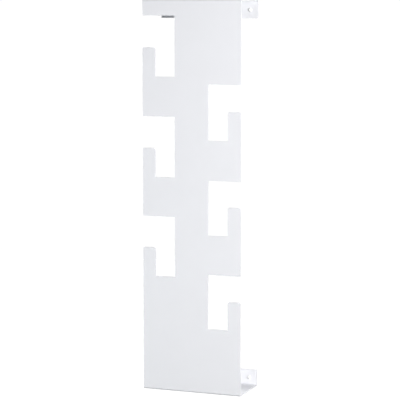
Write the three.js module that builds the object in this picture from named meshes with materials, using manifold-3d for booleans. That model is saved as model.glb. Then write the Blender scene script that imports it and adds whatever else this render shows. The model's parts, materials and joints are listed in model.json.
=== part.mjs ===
// Wall-mounted umbrella rack: one folded steel sheet with three hooks down each side,
// held to the wall by four screws in nylon plugs.
//
// Millimetres. +Z is up, +X is to the right seen from the front, and +Y points into the wall.
// The origin is on the wall, midway between the two upper screws. The wall is the plane y = 0.

import * as THREE from "three";
import { mergeVertices } from "three/addons/utils/BufferGeometryUtils.js";
import Module from "manifold-3d";

// ---- Driving dimensions -------------------------------------------------------------------

const width = 200; // left edge to right edge of the sheet
const height = 757; // underside of the bottom flange to the top of the top flange
const depth = 99; // wall to the outer face of the front plate
const sheet = 3; // thickness of the steel
const bendRadius = 4; // outer radius of the four bends

const topTab = 37; // height of the tab that hangs from the top flange, against the wall
const bottomTab = 33; // height of the tab that stands on the bottom flange
const holeInset = 16; // screw centre to the side edge, and to the free edge of its tab
const holeRadius = 2.75;

const prongWidth = 26;
const slotWidth = 40;
const prongHeight = 55.5; // from the floor of the slot to the tip of the prong
const armHeight = 76; // from the floor of a slot down to the underside of its arm
const hooksPerSide = 3;

// Depths below the top of the rack: underStrip is where the first cut-out starts, and
// stripRadius rounds the corner just above it, at the side edge.
const leftSide = { underStrip: 31, stripRadius: 3, firstFloor: 147, pitch: 192.7 };
const rightSide = { underStrip: 160, stripRadius: 1.5, firstFloor: 266.8, pitch: 181.5 };

const tipRadius = 3; // the tips of the prongs
const armRadius = 1.5; // the lower corner of each arm, at the side edge
const cornerRadius = 1; // the corners inside the cut-outs

const screw = { headRadius: 3.5, headHeight: 2.4, shankRadius: 1.5, length: 31, point: 4 };
const recess = { reach: 1.9, width: 0.8, depth: 1.4 };
const plug = { radius: 2.5, boreRadius: 1.85, length: 30, endWall: 1.5, nose: 4, taper: 0.6 };
const plugSplit = { width: 0.8, start: 8, end: 26 };

const gap = 0.3; // left between pieces that touch
const cutMargin = 2; // how far a cutting solid runs past what it cuts
const roundSides = 24;
const arcSteps = 6;

const topZ = topTab - holeInset;
const bottomZ = topZ - height;
const frontY = -depth;

// ---- Materials ----------------------------------------------------------------------------

const paintedSteel = new THREE.MeshStandardMaterial({ color: 0xe9ebef, roughness: 0.42, metalness: 0 });
const screwFinish = new THREE.MeshStandardMaterial({ color: 0xf4f4f2, roughness: 0.3, metalness: 0 });
const nylon = new THREE.MeshStandardMaterial({ color: 0xc9ccce, roughness: 0.55, metalness: 0 });

// ---- Joining and cutting ------------------------------------------------------------------

const solids = await Module();
solids.setup();

function toSolid(geometry) {
  const bare = geometry.clone();
  bare.deleteAttribute("normal");
  bare.deleteAttribute("uv");
  const closed = mergeVertices(bare);
  return new solids.Manifold(
    new solids.Mesh({
      numProp: 3,
      vertProperties: new Float32Array(closed.attributes.position.array),
      triVerts: new Uint32Array(closed.index.array),
    }),
  );
}

function toGeometry(solid) {
  const { vertProperties, triVerts } = solid.getMesh();
  const geometry = new THREE.BufferGeometry();
  geometry.setAttribute("position", new THREE.BufferAttribute(vertProperties, 3));
  geometry.setIndex(new THREE.BufferAttribute(triVerts, 1));
  geometry.computeVertexNormals();
  return geometry;
}

function cut(geometry, cutters) {
  const body = cutters.reduce((left, cutter) => left.subtract(toSolid(cutter)), toSolid(geometry));
  return toGeometry(body);
}

// ---- The rack: a folded sheet -------------------------------------------------------------

// The side profile of the sheet: tab, flange, front plate, flange, tab, with a bend at each corner.
function foldedProfile() {
  const inner = bendRadius - sheet;
  const quarter = Math.PI / 2;
  const corners = [
    { y: -bendRadius, z: topZ - bendRadius, from: 0 },
    { y: frontY + bendRadius, z: topZ - bendRadius, from: quarter },
    { y: frontY + bendRadius, z: bottomZ + bendRadius, from: 2 * quarter },
    { y: -bendRadius, z: bottomZ + bendRadius, from: 3 * quarter },
  ];
  const profile = new THREE.Shape();
  profile.moveTo(-sheet, topZ - topTab);
  profile.lineTo(0, topZ - topTab);
  for (const { y, z, from } of corners) {
    profile.absarc(y, z, bendRadius, from, from + quarter, false);
  }
  profile.lineTo(0, bottomZ + bottomTab);
  profile.lineTo(-sheet, bottomZ + bottomTab);
  for (const { y, z, from } of corners.reverse()) {
    profile.absarc(y, z, inner, from + quarter, from, true);
  }
  return profile;
}

function foldedSheet() {
  const geometry = new THREE.ExtrudeGeometry(foldedProfile(), {
    depth: width,
    bevelEnabled: false,
    curveSegments: arcSteps,
  });
  const across = new THREE.Matrix4().makeBasis(
    new THREE.Vector3(0, 1, 0),
    new THREE.Vector3(0, 0, 1),
    new THREE.Vector3(1, 0, 0),
  );
  return geometry.applyMatrix4(across).translate(-width / 2, 0, 0);
}

// A closed outline through corners { x, z, r }, each rounded to its radius r.
function roundedOutline(corners) {
  const points = corners.map(({ x, z }) => new THREE.Vector2(x, z));
  const outline = new THREE.Shape();
  corners.forEach(({ r }, i) => {
    const here = points[i];
    const before = points.at(i - 1).clone().sub(here).setLength(r);
    const after = points[(i + 1) % points.length].clone().sub(here).setLength(r);
    const start = here.clone().add(before);
    const end = here.clone().add(after);
    const centre = start.clone().add(after);
    if (i === 0) outline.moveTo(start.x, start.y);
    else outline.lineTo(start.x, start.y);
    const clockwise = before.cross(after) > 0;
    const from = Math.atan2(start.y - centre.y, start.x - centre.x);
    const to = Math.atan2(end.y - centre.y, end.x - centre.x);
    outline.absarc(centre.x, centre.y, r, from, to, clockwise);
  });
  outline.closePath();
  return outline;
}

// The cut-out above one hook: in from the side edge, over the prong and down into the slot.
// side is -1 for the left edge and +1 for the right. Depths are below the top of the rack.
function hookCutter(side, ceiling, floor) {
  const edge = (side * width) / 2;
  const outside = edge + side * (cutMargin + cornerRadius);
  const prongInside = edge - side * prongWidth;
  const column = prongInside - side * slotWidth;
  const tip = floor - prongHeight;
  const corner = (x, below, r) => ({ x, z: topZ - below, r });
  const path = roundedOutline([
    corner(outside, ceiling, cornerRadius),
    corner(column, ceiling, cornerRadius),
    corner(column, floor, cornerRadius),
    corner(prongInside, floor, cornerRadius),
    corner(prongInside, tip, tipRadius),
    corner(outside, tip, cornerRadius),
  ]);
  return throughFrontPlate(path);
}

function throughFrontPlate(outline) {
  const geometry = new THREE.ExtrudeGeometry(outline, {
    depth: sheet + 2 * cutMargin,
    bevelEnabled: false,
    curveSegments: arcSteps,
  });
  return geometry.rotateX(Math.PI / 2).translate(0, frontY + sheet + cutMargin, 0);
}

// What is left outside a rounded corner of the side edge: a square less a quarter disc.
// side says which edge the corner is on, and up is +1 for an upper corner and -1 for a lower one.
function cornerCutter(side, below, up, radius) {
  const edge = (side * width) / 2;
  const x = edge - side * radius;
  const z = topZ - below - up * radius;
  const reach = radius + cutMargin;
  const bit = new THREE.Shape();
  bit.moveTo(x, z + up * radius);
  bit.lineTo(x, z + up * reach);
  bit.lineTo(x + side * reach, z + up * reach);
  bit.lineTo(x + side * reach, z);
  bit.lineTo(edge, z);
  const from = side > 0 ? 0 : Math.PI;
  const to = up > 0 ? Math.PI / 2 : -Math.PI / 2;
  bit.absarc(x, z, radius, from, to, side * up < 0);
  return throughFrontPlate(bit);
}

function sideCutters(side, { underStrip, firstFloor, pitch, stripRadius }) {
  const cutters = [];
  for (let hook = 0; hook < hooksPerSide; hook += 1) {
    const floor = firstFloor + hook * pitch;
    const ceiling = hook === 0 ? underStrip : floor - pitch + armHeight;
    cutters.push(hookCutter(side, ceiling, floor));
    cutters.push(cornerCutter(side, ceiling, -1, hook === 0 ? stripRadius : armRadius));
    cutters.push(cornerCutter(side, floor - prongHeight, 1, tipRadius));
  }
  return cutters;
}

// The four screw places, as { name, x, z }.
function screwPlaces() {
  const x = width / 2 - holeInset;
  const heights = { upper: topZ - topTab + holeInset, lower: bottomZ + bottomTab - holeInset };
  return Object.entries(heights).flatMap(([level, z]) => [
    { name: `${level}_left`, x: -x, z },
    { name: `${level}_right`, x, z },
  ]);
}

function screwHole({ x, z }) {
  const length = sheet + 2 * cutMargin;
  return new THREE.CylinderGeometry(holeRadius, holeRadius, length, roundSides).translate(x, -sheet / 2, z);
}

function rackGeometry() {
  return cut(foldedSheet(), [
    ...sideCutters(-1, leftSide),
    ...sideCutters(1, rightSide),
    ...screwPlaces().map(screwHole),
  ]);
}

// ---- Screws and wall plugs ----------------------------------------------------------------

// A lathe profile of [radius, y] pairs that starts and ends on the axis.
function turned(profile) {
  const points = profile.map(([radius, y]) => new THREE.Vector2(radius, y));
  return new THREE.LatheGeometry(points, roundSides);
}

// The screw's head sits at y < 0 and its shank runs along +Y, from a bearing face at y = 0.
function screwGeometry() {
  const { headRadius, headHeight, shankRadius, length, point } = screw;
  const domeSteps = 5;
  const rim = 0.8; // straight side of the head under its dome
  const dome = [];
  for (let i = 0; i <= domeSteps; i += 1) {
    const angle = (i / domeSteps) * (Math.PI / 2);
    const rise = Math.cos(angle) * (headHeight - rim);
    dome.push([headRadius * Math.sin(angle), -rim - rise]);
  }
  const body = turned([...dome, [headRadius, 0], [shankRadius, 0], [shankRadius, length - point], [0, length]]);
  const arm = (x, z) =>
    new THREE.BoxGeometry(x, 2 * recess.depth, z).translate(0, -headHeight, 0);
  return cut(body, [arm(2 * recess.reach, recess.width), arm(recess.width, 2 * recess.reach)]);
}

// A blind nylon plug with a tapered nose, split across its middle so that the screw can spread it.
function plugGeometry() {
  const { radius, boreRadius, length, endWall, nose, taper } = plug;
  const body = turned([
    [0, length - endWall],
    [boreRadius, length - endWall],
    [boreRadius, 0],
    [radius, 0],
    [radius, length - nose],
    [radius - taper, length],
    [0, length],
  ]);
  const splitLength = plugSplit.end - plugSplit.start;
  const split = new THREE.BoxGeometry(plugSplit.width, splitLength, 2 * radius + cutMargin);
  return cut(body, [split.translate(0, (plugSplit.start + plugSplit.end) / 2, 0)]);
}

// ---- Assembly -----------------------------------------------------------------------------

function named(name, geometry, material) {
  const mesh = new THREE.Mesh(geometry, material);
  mesh.name = name;
  return mesh;
}

const umbrellaRack = new THREE.Group();
umbrellaRack.add(named("rack_body", rackGeometry(), paintedSteel));

const screwShape = screwGeometry();
const plugShape = plugGeometry();
for (const { name, x, z } of screwPlaces()) {
  const screwMesh = named(`screw_${name}`, screwShape, screwFinish);
  screwMesh.position.set(x, -sheet - gap, z);
  const plugMesh = named(`wall_plug_${name}`, plugShape, nylon);
  plugMesh.position.set(x, gap, z);
  umbrellaRack.add(screwMesh, plugMesh);
}

export default umbrellaRack;
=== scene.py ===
"""Looks for a wall-mounted umbrella rack: a folded, powder-coated steel sheet with three hooks
down each side, four pan head screws and the nylon plugs that they drive into.

Metres, +Z up, +X to the right seen from the front, +Y into the wall. The origin is on the wall,
midway between the two upper screws.
"""

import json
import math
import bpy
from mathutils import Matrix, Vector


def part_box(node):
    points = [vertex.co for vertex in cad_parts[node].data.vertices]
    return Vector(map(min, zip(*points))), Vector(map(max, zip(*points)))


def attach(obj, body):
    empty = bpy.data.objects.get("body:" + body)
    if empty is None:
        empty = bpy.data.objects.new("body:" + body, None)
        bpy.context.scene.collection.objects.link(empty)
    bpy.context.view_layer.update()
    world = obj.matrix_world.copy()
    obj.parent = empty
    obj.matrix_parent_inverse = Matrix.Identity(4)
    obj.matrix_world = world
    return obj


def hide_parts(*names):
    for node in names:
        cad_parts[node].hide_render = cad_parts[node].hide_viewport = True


bl_info = {
    "name": "Wall-Mounted Umbrella Rack",
    "version": (1, 0, 0),
    "blender": (4, 5, 0),
    "location": "View3D > Sidebar > Umbrella Rack",
    "description": "Builds a folded steel umbrella rack with its screws and wall plugs",
    "category": "Object",
}

import bpy
from bpy.props import (
    FloatProperty,
    FloatVectorProperty,
    IntProperty,
    PointerProperty,
)
from mathutils import Euler, Vector

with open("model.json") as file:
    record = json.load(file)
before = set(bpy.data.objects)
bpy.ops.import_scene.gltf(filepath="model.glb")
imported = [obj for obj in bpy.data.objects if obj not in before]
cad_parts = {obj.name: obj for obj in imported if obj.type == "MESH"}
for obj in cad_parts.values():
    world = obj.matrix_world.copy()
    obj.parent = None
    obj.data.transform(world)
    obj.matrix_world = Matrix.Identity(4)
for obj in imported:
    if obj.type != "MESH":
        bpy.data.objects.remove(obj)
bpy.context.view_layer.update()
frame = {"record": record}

MM = 0.001
SCREW_PLACES = ("upper_left", "upper_right", "lower_left", "lower_right")

rack_low, rack_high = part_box("rack_body")


def seat_heights(side):
    """Heights of the slot floors down one side, from the top."""
    mounts = frame["record"]["mounts"]
    heights = [m["pos_m"][2] for m in mounts if m["name"].startswith(f"seat_{side}")]
    return sorted(heights, reverse=True)


# ---- Settings -----------------------------------------------------------------------------


def length(name, millimetres, description):
    """A length property whose default is given in millimetres."""
    return FloatProperty(
        name=name,
        description=description,
        default=millimetres * MM,
        min=0.0,
        unit="LENGTH",
        precision=5,
    )


def colour(name, default, description):
    """A colour property with a linear default."""
    return FloatVectorProperty(
        name=name, description=description, default=default, subtype="COLOR", min=0.0, max=1.0
    )


def fraction(name, default, description):
    """A number from 0 to 1."""
    return FloatProperty(
        name=name, description=description, default=default, min=0.0, max=1.0, subtype="FACTOR"
    )


class SheetSettings(bpy.types.PropertyGroup):
    """Sizes of the folded sheet that the frame's boxes don't give."""

    thickness: length("Thickness", 3, "Thickness of the steel")
    bend_radius: length("Bend Radius", 4, "Outer radius of the four bends")
    top_tab: length("Top Tab", 37, "Height of the tab that hangs from the top flange")
    bottom_tab: length("Bottom Tab", 33, "Height of the tab that stands on the bottom flange")
    hole_radius: length("Hole Radius", 2.75, "Radius of the four screw holes")
    prong_width: length("Prong Width", 26, "Width of each prong, from the side edge")
    slot_width: length("Slot Width", 40, "Width of the slot behind each prong")
    prong_height: length("Prong Height", 55.5, "Slot floor to prong tip")
    arm_height: length("Arm Height", 76, "Slot floor down to the underside of the arm")
    left_strip: length("Left Strip", 31, "Top of the rack to the first cut-out on the left")
    right_strip: length("Right Strip", 160, "Top of the rack to the first cut-out on the right")
    left_strip_corner: length("Left Strip Corner", 3, "Rounding above the first left cut-out")
    right_strip_corner: length("Right Strip Corner", 1.5, "Rounding above the first right cut-out")
    tip_corner: length("Tip Corner", 3, "Rounding of the prong tips")
    arm_corner: length("Arm Corner", 1.5, "Rounding of the lower corner of each arm")
    inner_corner: length("Inner Corner", 1, "Rounding inside the cut-outs")
    edge_round: length("Edge Rounding", 0.35, "Rounding that the coating gives every cut edge")
    bend_steps: IntProperty(name="Bend Steps", description="Steps round each bend", default=16)
    corner_steps: IntProperty(name="Corner Steps", description="Steps round each corner", default=8)


class ScrewSettings(bpy.types.PropertyGroup):
    """Sizes of one pan head screw."""

    head_radius: length("Head Radius", 3.5, "Radius of the pan head")
    head_height: length("Head Height", 2.4, "Height of the pan head")
    rim_height: length("Rim Height", 0.5, "Straight side of the head under its dome")
    thread_radius: length("Thread Radius", 1.5, "Outer radius of the thread")
    core_radius: length("Core Radius", 1.05, "Radius of the shank between threads")
    thread_pitch: length("Thread Pitch", 1.5, "Advance of the thread in one turn")
    point: length("Point", 4, "Length of the pointed end")
    recess_reach: length("Recess Reach", 1.9, "Centre of the head to the end of a recess arm")
    recess_width: length("Recess Width", 0.7, "Width of a recess arm")
    recess_depth: length("Recess Depth", 1.1, "Depth of the recess below the top of the dome")
    sides: IntProperty(name="Sides", description="Flats round the head and the shank", default=32)
    turn_rows: IntProperty(
        name="Rows per Turn", description="Rows of points along one turn of the thread", default=12
    )


class PlugSettings(bpy.types.PropertyGroup):
    """Sizes of one expansion plug."""

    bore_radius: length("Bore Radius", 1.85, "Radius of the blind bore")
    tooth_depth: length("Tooth Depth", 0.35, "How far the teeth stand out of the barrel")
    tooth_pitch: length("Tooth Pitch", 2.6, "Distance from one tooth to the next")
    teeth: IntProperty(name="Teeth", description="Rings of teeth on each plug", default=7)
    collar: length("Collar", 4.5, "Length of the plain collar at the mouth")
    nose: length("Nose", 4, "Length of the tapered nose")
    taper: length("Taper", 0.6, "How much the radius drops along the nose")
    end_wall: length("End Wall", 1.5, "Thickness of the closed end")
    split_width: length("Split Width", 0.8, "Width of the split")
    split_start: length("Split Start", 8, "Mouth of the plug to the start of the split")
    split_end: length("Split End", 26, "Mouth of the plug to the end of the split")
    sides: IntProperty(name="Sides", description="Flats round the plug", default=40)


class FinishSettings(bpy.types.PropertyGroup):
    """Colours and surface detail of the finishes."""

    powder: colour("Powder Coat", (0.825, 0.831, 0.863), "Colour of the powder coat")
    powder_roughness: fraction("Powder Roughness", 0.42, "Roughness of the powder coat")
    peel_size: length("Orange Peel", 1.6, "Spacing of the coat's orange peel")
    lacquer: colour("Screw Lacquer", (0.92, 0.92, 0.92), "Colour of the screw heads")
    steel: colour("Bare Steel", (0.52, 0.52, 0.50), "Colour of metal where the lacquer is worn")
    nylon: colour("Nylon", (0.58, 0.60, 0.61), "Colour of the wall plugs")


class StageSettings(bpy.types.PropertyGroup):
    """The floor, the lights and the camera."""

    floor_drop: FloatProperty(
        name="Floor Drop",
        description="Lowest point of the rack down to the floor",
        default=0.95,
        unit="LENGTH",
    )
    floor_size: FloatProperty(
        name="Floor Size", description="Side of the floor", default=14.0, unit="LENGTH"
    )
    camera_place: FloatVectorProperty(
        name="Camera Place",
        description="Where the camera stands",
        default=(1.195, -3.161, 0.04),
        subtype="XYZ",
        unit="LENGTH",
    )
    camera_aim: FloatVectorProperty(
        name="Camera Aim",
        description="The point that the camera looks at",
        default=(0.0177, -0.099, -0.3594),
        subtype="XYZ",
        unit="LENGTH",
    )
    lens: FloatProperty(
        name="Lens",
        description="Focal length for a 36 mm wide sensor",
        default=156.0,
        unit="CAMERA",
    )
    light_power: FloatProperty(
        name="Light Power", description="Scales every light together", default=1.0, min=0.0
    )


class RackSettings(bpy.types.PropertyGroup):
    """Everything that a user may change, kept on the scene."""

    sheet: PointerProperty(type=SheetSettings)
    screw: PointerProperty(type=ScrewSettings)
    plug: PointerProperty(type=PlugSettings)
    finish: PointerProperty(type=FinishSettings)
    stage: PointerProperty(type=StageSettings)


# ---- Node trees ---------------------------------------------------------------------------


class Term:
    """An output of a node, which can be used in arithmetic to add Math nodes."""

    def __init__(self, graph, socket):
        self.graph = graph
        self.socket = socket

    def __add__(self, other):
        return self.graph.math("ADD", self, other)

    def __radd__(self, other):
        return self.graph.math("ADD", other, self)

    def __sub__(self, other):
        return self.graph.math("SUBTRACT", self, other)

    def __rsub__(self, other):
        return self.graph.math("SUBTRACT", other, self)

    def __mul__(self, other):
        return self.graph.math("MULTIPLY", self, other)

    def __rmul__(self, other):
        return self.graph.math("MULTIPLY", other, self)

    def __truediv__(self, other):
        return self.graph.math("DIVIDE", self, other)

    def __rtruediv__(self, other):
        return self.graph.math("DIVIDE", other, self)

    def __neg__(self):
        return self.graph.math("MULTIPLY", self, -1.0)

    def output(self, name):
        """Another output of the same node."""
        return Term(self.graph, self.socket.node.outputs[name])


class Graph:
    """Builds a node tree from expressions."""

    def __init__(self, tree):
        self.tree = tree
        tree.nodes.clear()

    def node(self, kind, settings=None, sockets=None, output=0):
        """Adds a node: its settings first, then the value or link of each socket."""
        made = self.tree.nodes.new(kind)
        for name, value in (settings or {}).items():
            if name == "items":
                self._grow_switch(made, value)
            else:
                setattr(made, name, value)
        for name, value in (sockets or {}).items():
            self.feed(made.inputs[name], value)
        return Term(self, made.outputs[output]) if made.outputs else made

    def feed(self, socket, value):
        """Links a term, or each term of a list, to a socket, or sets its plain value."""
        if isinstance(value, Term):
            self.tree.links.new(value.socket, socket)
        elif isinstance(value, list) and value and isinstance(value[0], Term):
            for term in value:
                self.tree.links.new(term.socket, socket)
        else:
            socket.default_value = value

    def math(self, operation, first, second=0.0):
        """A Math node on two numbers or terms."""
        return self.node("ShaderNodeMath", {"operation": operation}, {0: first, 1: second})

    def vector(self, x=0.0, y=0.0, z=0.0):
        """A vector from three numbers or terms."""
        return self.node("ShaderNodeCombineXYZ", None, {"X": x, "Y": y, "Z": z})

    def vector_math(self, operation, first, second=(0.0, 0.0, 0.0)):
        """A Vector Math node on two vectors."""
        return self.node("ShaderNodeVectorMath", {"operation": operation}, {0: first, 1: second})

    def scaled(self, vector, factor):
        """A vector times a number."""
        sockets = {0: vector, "Scale": factor}
        return self.node("ShaderNodeVectorMath", {"operation": "SCALE"}, sockets)

    @staticmethod
    def _grow_switch(switch, count):
        """Gives an Index Switch as many values as it has to hold."""
        while len(switch.index_switch_items) < count:
            switch.index_switch_items.new()


class Shape(Graph):
    """A Geometry Nodes tree with a material and other named inputs."""

    def __init__(self, name, floats, integers, vectors=()):
        super().__init__(bpy.data.node_groups.new(name, "GeometryNodeTree"))
        self.identifiers = {}
        inputs = {"Material": ("Material",), "Float": floats, "Int": integers, "Vector": vectors}
        for kind, labels in inputs.items():
            for label in labels:
                socket = self.tree.interface.new_socket(
                    name=label, in_out="INPUT", socket_type=f"NodeSocket{kind}"
                )
                self.identifiers[label] = socket.identifier
        self.tree.interface.new_socket(
            name="Geometry", in_out="OUTPUT", socket_type="NodeSocketGeometry"
        )
        self.entry = self.tree.nodes.new("NodeGroupInput")

    def get(self, label):
        """A named input of the tree."""
        return Term(self, self.entry.outputs[label])

    def choose(self, values, kind):
        """The value that stands at each point's index."""
        index = self.node("GeometryNodeInputIndex")
        sockets = {"Index": index}
        sockets.update({position + 1: value for position, value in enumerate(values)})
        settings = {"data_type": kind, "items": len(values)}
        return self.node("GeometryNodeIndexSwitch", settings, sockets)

    def polyline(self, corners, steps, closed):
        """A curve through corners of (point, radius), each corner rounded to its radius."""
        line = self.node("GeometryNodeMeshLine", None, {"Count": len(corners)})
        points = self.choose([point for point, _ in corners], "VECTOR")
        radii = self.choose([radius for _, radius in corners], "FLOAT")
        placed = self.node("GeometryNodeSetPosition", None, {"Geometry": line, "Position": points})
        curve = self.node("GeometryNodeMeshToCurve", None, {"Mesh": placed})
        if closed:
            curve = self.node(
                "GeometryNodeSetSplineCyclic", None, {"Geometry": curve, "Cyclic": True}
            )
        return self.node(
            "GeometryNodeFilletCurve",
            {"mode": "POLY"},
            {"Curve": curve, "Count": steps, "Radius": radii, "Limit Radius": True},
        )

    def slab(self, outline, low, high):
        """A closed outline in the XY plane, filled and made solid from low to high along Z."""
        face = self.node("GeometryNodeFillCurve", {"mode": "NGONS"}, {"Curve": outline})
        lowered = self.moved(face, self.vector(z=low))
        raised = self.node(
            "GeometryNodeExtrudeMesh",
            {"mode": "FACES"},
            {
                "Mesh": lowered,
                "Offset": self.vector(z=1.0),
                "Offset Scale": high - low,
                "Individual": False,
            },
        )
        base = self.node("GeometryNodeFlipFaces", None, {"Mesh": lowered})
        shell = self.node("GeometryNodeJoinGeometry", None, {"Geometry": [raised, base]})
        return self.merged(shell)

    def revolved(self, profile, sides):
        """A profile turned into a skin: X is the distance from the Z axis, and Y runs along -Z."""
        ring_radius = 10 * MM  # any radius will do, because the profile is moved back by as much
        ring = self.node(
            "GeometryNodeCurvePrimitiveCircle",
            None,
            {"Resolution": sides, "Radius": ring_radius},
        )
        outward = self.node("GeometryNodeInputPosition")
        facing_out = self.node(
            "GeometryNodeSetCurveNormal", {"mode": "FREE"}, {"Curve": ring, "Normal": outward}
        )
        section = self.moved(profile, (-ring_radius, 0.0, 0.0))
        skin = self.node(
            "GeometryNodeCurveToMesh", None, {"Curve": facing_out, "Profile Curve": section}
        )
        return self.merged(skin)

    def segment(self, start, finish, points):
        """A straight curve with evenly spaced points."""
        line = self.node(
            "GeometryNodeMeshLine",
            {"mode": "END_POINTS"},
            {"Count": points, "Start Location": start, "Offset": finish},
        )
        return self.node("GeometryNodeMeshToCurve", None, {"Mesh": line})

    def place(self):
        """Each point's own X, Y and Z."""
        position = self.node("GeometryNodeInputPosition")
        return self.node("ShaderNodeSeparateXYZ", None, {"Vector": position}, "X")

    def moved(self, geometry, offset, turn=(0.0, 0.0, 0.0)):
        """Geometry turned, then moved."""
        sockets = {"Geometry": geometry, "Translation": offset, "Rotation": turn}
        return self.node("GeometryNodeTransform", None, sockets)

    def merged(self, geometry, distance=1e-6):
        """Geometry with points that coincide joined."""
        sockets = {"Geometry": geometry, "Distance": distance}
        return self.node("GeometryNodeMergeByDistance", None, sockets)

    def copies(self, points, shape):
        """A real copy of the shape at each point."""
        sockets = {"Points": points, "Instance": shape}
        placed = self.node("GeometryNodeInstanceOnPoints", None, sockets)
        return self.node("GeometryNodeRealizeInstances", None, {"Geometry": placed})

    def minus(self, body, cutters):
        """The body with every cutter taken away."""
        settings = {"operation": "DIFFERENCE", "solver": "MANIFOLD"}
        return self.node("GeometryNodeMeshBoolean", settings, {"Mesh 1": body, "Mesh 2": cutters})

    def union(self, bodies):
        """Closed bodies joined into one skin."""
        settings = {"operation": "UNION", "solver": "MANIFOLD"}
        return self.node("GeometryNodeMeshBoolean", settings, {"Mesh 2": bodies})

    def end(self, geometry, crease=math.radians(30)):
        """Smooth shading up to the crease angle, real geometry and the material."""
        angle = self.node("GeometryNodeInputMeshEdgeAngle")
        soft = self.node(
            "FunctionNodeCompare", {"operation": "LESS_THAN"}, {"A": angle, "B": crease}
        )
        shaded = self.node(
            "GeometryNodeSetShadeSmooth",
            {"domain": "EDGE"},
            {"Geometry": geometry, "Shade Smooth": soft},
        )
        real = self.node("GeometryNodeRealizeInstances", None, {"Geometry": shaded})
        painted = self.node(
            "GeometryNodeSetMaterial", None, {"Geometry": real, "Material": self.get("Material")}
        )
        exit_node = self.tree.nodes.new("NodeGroupOutput")
        self.tree.links.new(painted.socket, exit_node.inputs["Geometry"])


def grow(name, shape, values, finishing=()):
    """Evaluates a tree with its inputs set, and returns the result as a plain mesh object."""
    seed = bpy.data.objects.new(f"{name}_seed", bpy.data.meshes.new(f"{name}_seed"))
    bpy.context.collection.objects.link(seed)
    modifier = seed.modifiers.new(name, "NODES")
    modifier.node_group = shape.tree
    for label, value in values.items():
        modifier[shape.identifiers[label]] = value
    for kind, settings in finishing:
        extra = seed.modifiers.new(kind.title(), kind)
        for setting, value in settings.items():
            setattr(extra, setting, value)
    graph = bpy.context.evaluated_depsgraph_get()
    mesh = bpy.data.meshes.new_from_object(seed.evaluated_get(graph), depsgraph=graph)
    if not mesh.polygons:
        raise RuntimeError(f"{name}: the tree gave no faces")
    bpy.data.objects.remove(seed)
    mesh.name = name
    piece = bpy.data.objects.new(name, mesh)
    bpy.context.collection.objects.link(piece)
    return piece


# ---- Shapes -------------------------------------------------------------------------------

# About X: +Y comes to lie along +Z, and -Z along +Y.
QUARTER_TURN = (math.pi / 2, 0.0, 0.0)

CUT_MARGIN = 2 * MM  # how far a cut-out's cutter stands clear of the sheet
HOLE_SIDES = 48

# The screw's head, thread and recess.
SHOULDER = 0.66  # share of the head's radius at which its top turns down
SHOULDER_ROUND = 1.1 * MM
RIM_ROUND = 0.6 * MM
SEAT_ROUND = 0.15 * MM
HEAD_STEPS = 6
THREAD_SLOPE = 3.2  # a ridge's foot takes up 2 / 3.2 of the pitch
THREAD_START = 1.5 * MM  # below the head
THREAD_RUN_IN = 1.5 * MM
RECESS_TAPER = 0.4

# The plug's collar, teeth and nose.
MOUTH_ROUND = 0.2 * MM
COLLAR_ROUND = 0.1 * MM
COLLAR_SLOPE = 0.4 * MM
NOSE_ROUND = 1.0 * MM
END_ROUND = 0.4 * MM
PLUG_STEPS = 5
TOOTH_SHARE = 0.62  # of the pitch
TOOTH_ROOT = 0.05 * MM  # how far a tooth's thin end is sunk into the barrel
TOOTH_GAP = 0.8 * MM  # from the collar to the first tooth
BORE_MARGIN = 1 * MM  # how far the bore's cutter stands out of the mouth


def sheet_shape():
    """The side profile swept across the rack, less the cut-outs and the screw holes."""
    shape = Shape(
        "Folded Sheet",
        floats=(
            "Width", "Front", "Top", "Bottom", "Thickness", "Bend Radius", "Top Tab", "Bottom Tab",
            "Prong Width", "Slot Width", "Prong Height", "Arm Height",
            "Left Strip", "Left Strip Corner", "Left Floor", "Left Pitch",
            "Right Strip", "Right Strip Corner", "Right Floor", "Right Pitch",
            "Tip Corner", "Arm Corner", "Inner Corner",
            "Hole Radius", "Hole Across", "Hole Down",
        ),
        integers=("Bend Steps", "Corner Steps", "Hooks"),
    )
    cutters = [*side_cutters(shape, -1, "Left"), *side_cutters(shape, 1, "Right")]
    body = shape.minus(folded_strip(shape), [*cutters, screw_hole_cutters(shape)])
    shape.end(shape.merged(body))
    return shape


def folded_strip(shape):
    """The uncut sheet: tab, flange, front plate, flange and tab, with a bend at each corner."""
    thickness = shape.get("Thickness")
    half = thickness * 0.5
    wall = -half
    plate = shape.get("Front") + half
    top = shape.get("Top")
    bottom = shape.get("Bottom")
    bend = shape.get("Bend Radius") - half
    corners = [
        (shape.vector(y=wall, z=top - shape.get("Top Tab")), 0.0),
        (shape.vector(y=wall, z=top - half), bend),
        (shape.vector(y=plate, z=top - half), bend),
        (shape.vector(y=plate, z=bottom + half), bend),
        (shape.vector(y=wall, z=bottom + half), bend),
        (shape.vector(y=wall, z=bottom + shape.get("Bottom Tab")), 0.0),
    ]
    path = shape.polyline(corners, shape.get("Bend Steps"), closed=False)
    square_on = shape.node(
        "GeometryNodeSetCurveNormal", {"mode": "FREE"}, {"Curve": path, "Normal": (1.0, 0.0, 0.0)}
    )
    section = shape.node(
        "GeometryNodeCurvePrimitiveQuadrilateral",
        None,
        {"Width": shape.get("Width"), "Height": thickness},
    )
    return shape.node(
        "GeometryNodeCurveToMesh",
        None,
        {"Curve": square_on, "Profile Curve": section, "Fill Caps": True},
    )


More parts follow.
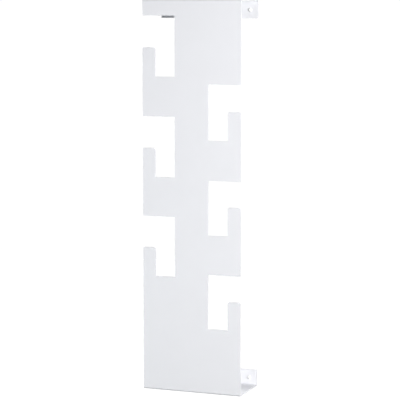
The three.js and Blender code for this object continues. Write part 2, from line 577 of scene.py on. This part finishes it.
def side_cutters(shape, side, label):
    """The cut-outs down one side: the first on its own, the rest repeated at the pitch."""
    top = shape.get("Top")
    floor = shape.get(f"{label} Floor")
    pitch = shape.get(f"{label} Pitch")
    strip = top - shape.get(f"{label} Strip")
    under_arm = floor - shape.get("Arm Height")
    first = hook_cutter(shape, side, strip, floor, shape.get(f"{label} Strip Corner"))
    again = hook_cutter(shape, side, under_arm, floor - pitch, shape.get("Arm Corner"))
    rows = shape.node(
        "GeometryNodeMeshLine",
        {"mode": "OFFSET"},
        {"Count": shape.get("Hooks") - 1.0, "Offset": shape.vector(z=-pitch)},
    )
    return [first, shape.copies(rows, again)]


def hook_cutter(shape, side, ceiling, floor, ceiling_corner):
    """One cut-out: in from the side edge, over the prong and down into the slot."""
    edge = shape.get("Width") * (0.5 * side)
    outside = edge + side * CUT_MARGIN
    prong = edge - shape.get("Prong Width") * side
    column = prong - shape.get("Slot Width") * side
    tip = floor + shape.get("Prong Height")
    tip_corner = shape.get("Tip Corner")
    inner = shape.get("Inner Corner")
    corners = [
        (shape.vector(outside, ceiling + ceiling_corner), 0.0),
        (shape.vector(edge, ceiling + ceiling_corner), 0.0),
        (shape.vector(edge, ceiling), ceiling_corner),
        (shape.vector(column, ceiling), inner),
        (shape.vector(column, floor), inner),
        (shape.vector(prong, floor), inner),
        (shape.vector(prong, tip), tip_corner),
        (shape.vector(edge, tip), tip_corner),
        (shape.vector(edge, tip - tip_corner), 0.0),
        (shape.vector(outside, tip - tip_corner), 0.0),
    ]
    outline = shape.polyline(corners, shape.get("Corner Steps"), closed=True)
    front = shape.get("Front")
    back = front + shape.get("Thickness")
    lying = shape.slab(outline, -CUT_MARGIN - back, CUT_MARGIN - front)
    return shape.moved(lying, (0.0, 0.0, 0.0), QUARTER_TURN)


def screw_hole_cutters(shape):
    """Four bores through the tabs, on the corners of a rectangle."""
    through = shape.get("Thickness") * 3.0
    bore = shape.node(
        "GeometryNodeMeshCylinder",
        None,
        {"Vertices": HOLE_SIDES, "Radius": shape.get("Hole Radius"), "Depth": through},
    )
    down = shape.get("Hole Down")
    corners = shape.node(
        "GeometryNodeMeshGrid",
        None,
        {"Size X": shape.get("Hole Across"), "Size Y": down, "Vertices X": 2, "Vertices Y": 2},
    )
    holes = shape.copies(corners, bore)
    return shape.moved(holes, shape.vector(z=down * -0.5), QUARTER_TURN)


def screw_shape():
    """A pan head screw that starts at its bearing face and runs along +Y."""
    shape = Shape(
        "Pan Head Screw",
        floats=(
            "Length", "Point", "Head Radius", "Head Height", "Rim Height",
            "Core Radius", "Thread Radius", "Thread Pitch",
            "Recess Reach", "Recess Width", "Recess Depth",
        ),
        integers=("Sides", "Rows per Turn"),
        vectors=("Place",),
    )
    bored = shape.minus(screw_blank(shape), recess_cutters(shape))
    shape.end(shape.moved(bored, shape.get("Place"), QUARTER_TURN))
    return shape


def screw_blank(shape):
    """Head, threaded shank and threaded point in one skin."""
    radius = shape.get("Head Radius")
    top = -shape.get("Head Height")
    rim = -shape.get("Rim Height")
    core = shape.get("Core Radius")
    tip = shape.get("Length")
    neck = tip - shape.get("Point")
    head = [
        (shape.vector(0.0, top), 0.0),
        (shape.vector(radius * SHOULDER, top), SHOULDER_ROUND),
        (shape.vector(radius, rim), RIM_ROUND),
        (shape.vector(radius, 0.0), SEAT_ROUND),
        (shape.vector(core, 0.0), 0.0),
    ]
    step = shape.get("Thread Pitch") / shape.get("Rows per Turn")
    sides = shape.get("Sides")
    shank = shape.segment(shape.vector(core, 0.0), shape.vector(core, neck), neck / step)
    point = shape.segment(
        shape.vector(core, neck), shape.vector(0.0, tip), shape.get("Point") / step
    )
    threaded = shape.node(
        "GeometryNodeJoinGeometry",
        None,
        {"Geometry": [shape.revolved(shank, sides), shape.revolved(point, sides)]},
    )
    domed = shape.revolved(shape.polyline(head, HEAD_STEPS, closed=False), sides)
    parts = [domed, with_thread(shape, threaded)]
    return shape.merged(shape.node("GeometryNodeJoinGeometry", None, {"Geometry": parts}))


def with_thread(shape, skin):
    """Lifts a helical ridge out of the shank, fading in below the head and out at the tip."""
    x = shape.place()
    y = x.output("Y")
    along = -x.output("Z")
    turn = shape.math("ARCTAN2", y, x) / math.tau
    phase = shape.math("FRACT", along / shape.get("Thread Pitch") + turn)
    ridge = shape.math("MAXIMUM", 1.0 - shape.math("ABSOLUTE", phase - 0.5) * THREAD_SLOPE, 0.0)
    run_in = (along - THREAD_START) / THREAD_RUN_IN
    run_out = (shape.get("Length") - along) / shape.get("Point")
    fade = shape.math("MINIMUM", shape.math("MINIMUM", run_in, run_out), 1.0)
    fade = shape.math("MAXIMUM", fade, 0.0)
    rise = (shape.get("Thread Radius") - shape.get("Core Radius")) * ridge * fade
    outward = shape.vector_math("NORMALIZE", shape.vector(x, y, 0.0))
    sockets = {"Geometry": skin, "Offset": shape.scaled(outward, rise)}
    return shape.node("GeometryNodeSetPosition", None, sockets)


def recess_cutters(shape):
    """The two tapered arms of the cross recess, marked as worn."""
    top = shape.get("Head Height")
    depth = shape.get("Recess Depth")
    reach = shape.get("Recess Reach") * 2.0
    width = shape.get("Recess Width")
    arms = []
    for size in (shape.vector(reach, width, depth * 2.0), shape.vector(width, reach, depth * 2.0)):
        bar = shape.node("GeometryNodeMeshCube", None, {"Size": size})
        x = shape.place()
        narrowing = 1.0 + x.output("Z") / depth * RECESS_TAPER
        tapered = shape.node(
            "GeometryNodeSetPosition",
            None,
            {
                "Geometry": shape.merged(bar),
                "Position": shape.vector(x * narrowing, x.output("Y") * narrowing, x.output("Z")),
            },
        )
        marked = shape.node(
            "GeometryNodeStoreNamedAttribute",
            {"data_type": "FLOAT", "domain": "CORNER"},
            {"Geometry": tapered, "Name": "worn", "Value": 1.0},
        )
        arms.append(shape.moved(marked, shape.vector(z=top)))
    return arms


def plug_shape():
    """A split nylon plug with rings of teeth, its mouth at the start and its nose along +Y."""
    shape = Shape(
        "Wall Plug",
        floats=(
            "Length", "Radius", "Bore Radius", "Collar", "Nose", "Taper", "End Wall",
            "Tooth Pitch", "Tooth Depth", "Split Width", "Split Start", "Split End",
        ),
        integers=("Teeth", "Sides"),
        vectors=("Place",),
    )
    toothed = shape.union([plug_barrel(shape), plug_teeth(shape)])
    hollow = shape.minus(toothed, [plug_bore(shape), plug_split(shape)])
    shape.end(shape.moved(hollow, shape.get("Place"), QUARTER_TURN))
    return shape


def plug_barrel(shape):
    """The plug without its teeth or its bore."""
    radius = shape.get("Radius")
    barrel = radius - shape.get("Tooth Depth")
    collar = shape.get("Collar")
    end = shape.get("Length")
    corners = [
        (shape.vector(0.0, 0.0), 0.0),
        (shape.vector(radius, 0.0), MOUTH_ROUND),
        (shape.vector(radius, collar), COLLAR_ROUND),
        (shape.vector(barrel, collar + COLLAR_SLOPE), COLLAR_ROUND),
        (shape.vector(barrel, end - shape.get("Nose")), NOSE_ROUND),
        (shape.vector(radius - shape.get("Taper"), end), END_ROUND),
        (shape.vector(0.0, end), 0.0),
    ]
    return shape.revolved(shape.polyline(corners, PLUG_STEPS, closed=False), shape.get("Sides"))


def plug_teeth(shape):
    """Rings that are widest towards the mouth, so that the plug grips when it is pulled."""
    radius = shape.get("Radius")
    pitch = shape.get("Tooth Pitch")
    tooth = shape.node(
        "GeometryNodeMeshCone",
        None,
        {
            "Vertices": shape.get("Sides"),
            "Radius Top": radius,
            "Radius Bottom": radius - shape.get("Tooth Depth") - TOOTH_ROOT,
            "Depth": pitch * TOOTH_SHARE,
        },
    )
    first = shape.get("Collar") + TOOTH_GAP
    rings = shape.node(
        "GeometryNodeMeshLine",
        {"mode": "OFFSET"},
        {
            "Count": shape.get("Teeth"),
            "Start Location": shape.vector(z=-first - pitch * TOOTH_SHARE),
            "Offset": shape.vector(z=-pitch),
        },
    )
    return shape.copies(rings, tooth)


def plug_bore(shape):
    """The blind bore, open past the mouth."""
    depth = shape.get("Length") - shape.get("End Wall") + BORE_MARGIN
    bore = shape.node(
        "GeometryNodeMeshCylinder",
        None,
        {"Vertices": shape.get("Sides"), "Radius": shape.get("Bore Radius"), "Depth": depth},
    )
    return shape.moved(bore, shape.vector(z=BORE_MARGIN - depth * 0.5))


def plug_split(shape):
    """The slit across the plug that lets its halves spread."""
    start = shape.get("Split Start")
    finish = shape.get("Split End")
    across = shape.get("Radius") * 3.0
    size = shape.vector(shape.get("Split Width"), across, finish - start)
    slit = shape.merged(shape.node("GeometryNodeMeshCube", None, {"Size": size}))
    return shape.moved(slit, shape.vector(z=(start + finish) * -0.5))


# ---- Finishes -----------------------------------------------------------------------------


def new_material(name):
    """An empty material and the graph of its nodes."""
    material = bpy.data.materials.new(name)
    material.use_nodes = True
    return material, Graph(material.node_tree)


def place_noise(graph, size, detail=2.0, roughness=0.5):
    """Noise fixed to the object, with features of about the given size in metres."""
    place = graph.node("ShaderNodeTexCoord", None, None, "Object")
    sockets = {"Vector": place, "Scale": 1.0 / size, "Detail": detail, "Roughness": roughness}
    return graph.node("ShaderNodeTexNoise", None, sockets)


def mix_colour(graph, factor, first, second):
    """A colour between two others."""
    colour_a, colour_b, colour_result = 6, 7, 2  # the Mix node's sockets for colours, by number
    sockets = {"Factor": factor, colour_a: first, colour_b: second}
    return graph.node("ShaderNodeMix", {"data_type": "RGBA"}, sockets, colour_result)


def varied(graph, factor, base, spread):
    """A colour that runs from darker to lighter than its base by a share of it."""
    darker, lighter = (
        (*(channel * (1.0 + change) for channel in base), 1.0) for change in (-spread, spread)
    )
    return mix_colour(graph, factor, darker, lighter)


def relief(graph, height, strength, depth):
    """A normal from a height that is worth the given depth in metres."""
    sockets = {"Strength": strength, "Distance": depth, "Height": height}
    return graph.node("ShaderNodeBump", None, sockets)


def coat_with(graph, sockets):
    """Gives the material a Principled surface with these sockets."""
    surface = graph.node("ShaderNodeBsdfPrincipled", None, sockets)
    graph.node("ShaderNodeOutputMaterial", None, {"Surface": surface})


def powder_coat(finish):
    """Satin powder coat: orange peel, faint mottling and a slightly uneven sheen."""
    material, graph = new_material("powder_coat")
    mottle = place_noise(graph, 45 * MM, 3.0)
    peel = place_noise(graph, finish.peel_size, 1.0, 0.4)
    grain = place_noise(graph, finish.peel_size / 4, 2.0)
    coat_with(
        graph,
        {
            "Base Color": varied(graph, mottle, finish.powder, 0.015),
            "Roughness": finish.powder_roughness - 0.03 + mottle * 0.06,
            "Normal": relief(graph, peel * 0.8 + grain * 0.2, 0.5, 0.1 * MM),
            "IOR": 1.5,
        },
    )
    return material


def screw_lacquer(finish):
    """White lacquer on the head, worn to the steel in the recess, and a plated shank."""
    material, graph = new_material("screw_lacquer")
    lacquer_end = -3.32 * MM  # along Y, just short of the face that the head bears on
    place = graph.node("ShaderNodeTexCoord", None, None, "Object")
    depth = graph.node("ShaderNodeSeparateXYZ", None, {"Vector": place}, "Y")
    shank = graph.math("GREATER_THAN", depth, lacquer_end)
    worn = graph.node("ShaderNodeAttribute", {"attribute_name": "worn"}, None, "Fac")
    scuffs = place_noise(graph, 0.5 * MM, 4.0, 0.6)
    scuffed = graph.math("GREATER_THAN", worn * scuffs, 0.6)
    bare = graph.math("MAXIMUM", shank, scuffed)
    coat = varied(graph, scuffs, finish.lacquer, 0.02)
    metal = varied(graph, scuffs, finish.steel, 0.1)
    coat_with(
        graph,
        {
            "Base Color": mix_colour(graph, bare, coat, metal),
            "Metallic": bare,
            "Roughness": 0.26 + scuffs * 0.1 + bare * 0.05,
            "Normal": relief(graph, scuffs, 0.2, 0.02 * MM),
        },
    )
    return material


def nylon(finish):
    """Moulded grey nylon with faint flow marks."""
    material, graph = new_material("nylon")
    flow = place_noise(graph, 3 * MM, 3.0)
    grain = place_noise(graph, 0.3 * MM, 2.0)
    coat_with(
        graph,
        {
            "Base Color": varied(graph, flow, finish.nylon, 0.05),
            "Roughness": 0.46 + flow * 0.1,
            "Normal": relief(graph, grain, 0.3, 0.02 * MM),
        },
    )
    return material


# ---- Operators ----------------------------------------------------------------------------


def labelled(settings):
    """The sizes of a property group by label, which is also what the trees call them."""
    return {
        item.name: getattr(settings, item.identifier)
        for item in settings.bl_rna.properties
        if item.identifier not in ("rna_type", "name")
    }


def centre_of(node):
    """The middle of a node's box."""
    low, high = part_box(node)
    return (low + high) / 2


def hand_over(piece, slot, *nodes):
    """Puts a finished piece in the place of the plain nodes that it stands for."""
    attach(piece, "root")
    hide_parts(*nodes)


class RACK_OT_sheet(bpy.types.Operator):
    """Make the folded sheet in place of its plain solid"""

    bl_idname = "umbrella_rack.sheet"
    bl_label = "Make Sheet"

    def execute(self, context):
        settings = context.scene.umbrella_rack
        left = seat_heights("left")
        right = seat_heights("right")
        upper_left, upper_right, lower_left = (
            centre_of(f"screw_{place}") for place in SCREW_PLACES[:3]
        )
        values = labelled(settings.sheet)
        edge = {
            "width": values.pop("Edge Rounding"),
            "segments": 3,
            "limit_method": "ANGLE",
            "angle_limit": math.radians(40),
            "harden_normals": True,
        }
        values.update({
            "Material": powder_coat(settings.finish),
            "Width": rack_high.x - rack_low.x,
            "Front": rack_low.y,
            "Top": rack_high.z,
            "Bottom": rack_low.z,
            "Left Floor": left[0],
            "Left Pitch": left[0] - left[1],
            "Right Floor": right[0],
            "Right Pitch": right[0] - right[1],
            "Hooks": len(left),
            "Hole Across": upper_right.x - upper_left.x,
            "Hole Down": upper_left.z - lower_left.z,
        })
        piece = grow("rack_sheet", sheet_shape(), values, [("BEVEL", edge)])
        hand_over(piece, "powder_coat", "rack_body")
        return {"FINISHED"}


class RACK_OT_screws(bpy.types.Operator):
    """Make the four screws in place of their plain solids"""

    bl_idname = "umbrella_rack.screws"
    bl_label = "Make Screws"

    def execute(self, context):
        settings = context.scene.umbrella_rack
        shape = screw_shape()
        head_height = settings.screw.head_height
        values = labelled(settings.screw)
        values["Material"] = screw_lacquer(settings.finish)
        for place in SCREW_PLACES:
            node = f"screw_{place}"
            low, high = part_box(node)
            middle = centre_of(node)
            bearing_face = low.y + head_height
            values["Place"] = (middle.x, bearing_face, middle.z)
            values["Length"] = high.y - bearing_face
            hand_over(grow(f"pan_head_{node}", shape, values), "screw_lacquer", node)
        return {"FINISHED"}


class RACK_OT_plugs(bpy.types.Operator):
    """Make the four wall plugs in place of their plain solids"""

    bl_idname = "umbrella_rack.plugs"
    bl_label = "Make Plugs"

    def execute(self, context):
        settings = context.scene.umbrella_rack
        shape = plug_shape()
        values = labelled(settings.plug)
        values["Material"] = nylon(settings.finish)
        for place in SCREW_PLACES:
            node = f"wall_plug_{place}"
            low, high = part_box(node)
            middle = centre_of(node)
            values["Place"] = (middle.x, low.y, middle.z)
            values["Length"] = high.y - low.y
            values["Radius"] = (high.x - low.x) / 2
            hand_over(grow(f"toothed_{node}", shape, values), "nylon", node)
        return {"FINISHED"}


class RACK_OT_stage(bpy.types.Operator):
    """Set out the floor, the lights and the camera"""

    bl_idname = "umbrella_rack.stage"
    bl_label = "Make Stage"

    def execute(self, context):
        stage = context.scene.umbrella_rack.stage
        make_floor(stage)
        make_world()
        for name, around, up, distance, size, power, tint in LIGHTS:
            make_softbox(name, around, up, distance, size, power * stage.light_power, tint)
        make_camera(context, stage)
        context.scene.view_settings.view_transform = "Standard"
        return {"FINISHED"}


# Each light as name, degrees from the front towards the right, degrees upwards, distance and
# side in metres, power in watts and linear colour.
LIGHTS = (
    ("key", 50, 0, 5.0, 2.5, 236.0, (1.0, 1.0, 0.98)),
    ("front", 0, 25, 3.0, 1.5, 7.5, (0.94, 0.92, 1.0)),
    ("right_fill", 55, 12, 1.3, 0.6, 6.4, (1.0, 0.98, 0.99)),
    ("left_fill", -60, -15, 1.3, 0.6, 5.0, (0.94, 1.0, 1.0)),
    ("right_edge", 90, 20, 1.5, 0.8, 6.0, (1.0, 1.0, 1.0)),
    ("back", 180, 35, 3.0, 1.5, 55.0, (1.0, 1.0, 1.0)),
)


def make_softbox(name, around, up, distance, size, power, tint):
    """A square area light that faces the middle of the rack."""
    light = bpy.data.lights.new(name, "AREA")
    light.shape = "SQUARE"
    light.size = size
    light.energy = power
    light.color = tint
    lamp = bpy.data.objects.new(name, light)
    bpy.context.collection.objects.link(lamp)
    middle = Vector((0.0, rack_low.y, (rack_low.z + rack_high.z) / 2))
    turn = Euler((math.radians(-up), 0.0, math.radians(around)))
    away = Vector((0.0, -distance, 0.0))
    away.rotate(turn)
    lamp.location = middle + away
    lamp.rotation_euler = away.to_track_quat("Z", "Y").to_euler()


def make_floor(stage):
    """A plain pale floor some way below the rack, which hangs on a wall."""
    half = stage.floor_size / 2
    level = rack_low.z - stage.floor_drop
    outline = ((-half, -half), (half, -half), (half, half), (-half, half))
    corners = [(x, y, level) for x, y in outline]
    mesh = bpy.data.meshes.new("floor")
    mesh.from_pydata(corners, [], [(0, 1, 2, 3)])
    floor = bpy.data.objects.new("floor", mesh)
    bpy.context.collection.objects.link(floor)
    mesh.materials.append(pale_floor())
    # It is seen, but neither lights the rack nor shows in its coat.
    floor.visible_diffuse = False
    floor.visible_glossy = False


def pale_floor():
    """A pale floor that glows as the background does, so that the two run together."""
    material, graph = new_material("pale_floor")
    coat_with(
        graph,
        {
            "Base Color": (0.9, 0.9, 0.9, 1.0),
            "Roughness": 0.9,
            "Emission Color": (1.0, 1.0, 1.0, 1.0),
            "Emission Strength": 1.0,
        },
    )
    return material


def make_world():
    """A white background for the eye and a dimmer one for the light it gives."""
    world = bpy.data.worlds.new("studio")
    bpy.context.scene.world = world
    world.use_nodes = True
    graph = Graph(world.node_tree)
    seen = graph.node("ShaderNodeLightPath", None, None, "Is Camera Ray")
    glow, backdrop = (
        graph.node("ShaderNodeBackground", None, {"Color": tint, "Strength": strength})
        for tint, strength in (((0.9, 0.95, 1.0, 1.0), 0.06), ((1.0, 1.0, 1.0, 1.0), 1.02))
    )
    both = graph.node("ShaderNodeMixShader", None, {0: seen, 1: glow, 2: backdrop})
    graph.node("ShaderNodeOutputWorld", None, {"Surface": both})


def make_camera(context, stage):
    """The camera, as high as the rack's top and to its right, looking slightly down."""
    data = bpy.data.cameras.new("camera")
    data.lens = stage.lens
    camera = bpy.data.objects.new("camera", data)
    context.collection.objects.link(camera)
    place = Vector(stage.camera_place)
    camera.location = place
    aim = Vector(stage.camera_aim) - place
    camera.rotation_euler = aim.to_track_quat("-Z", "Y").to_euler()
    context.scene.camera = camera


class RACK_PT_panel(bpy.types.Panel):
    """The operators, in the order in which they run."""

    bl_idname = "RACK_PT_panel"
    bl_label = "Umbrella Rack"
    bl_space_type = "VIEW_3D"
    bl_region_type = "UI"
    bl_category = "Umbrella Rack"

    def draw(self, context):
        for operator in OPERATORS:
            self.layout.operator(operator.bl_idname)


# ---- Registration -------------------------------------------------------------------------

OPERATORS = (RACK_OT_stage, RACK_OT_sheet, RACK_OT_screws, RACK_OT_plugs)
CLASSES = (
    SheetSettings,
    ScrewSettings,
    PlugSettings,
    FinishSettings,
    StageSettings,
    RackSettings,
    *OPERATORS,
    RACK_PT_panel,
)


def register():
    for item in CLASSES:
        bpy.utils.register_class(item)
    bpy.types.Scene.umbrella_rack = PointerProperty(type=RackSettings)


def unregister():
    del bpy.types.Scene.umbrella_rack
    for item in reversed(CLASSES):
        bpy.utils.unregister_class(item)


def main():
    register()
    bpy.ops.umbrella_rack.stage()
    bpy.ops.umbrella_rack.sheet()
    bpy.ops.umbrella_rack.screws()
    bpy.ops.umbrella_rack.plugs()


if __name__ == "__main__":
    main()
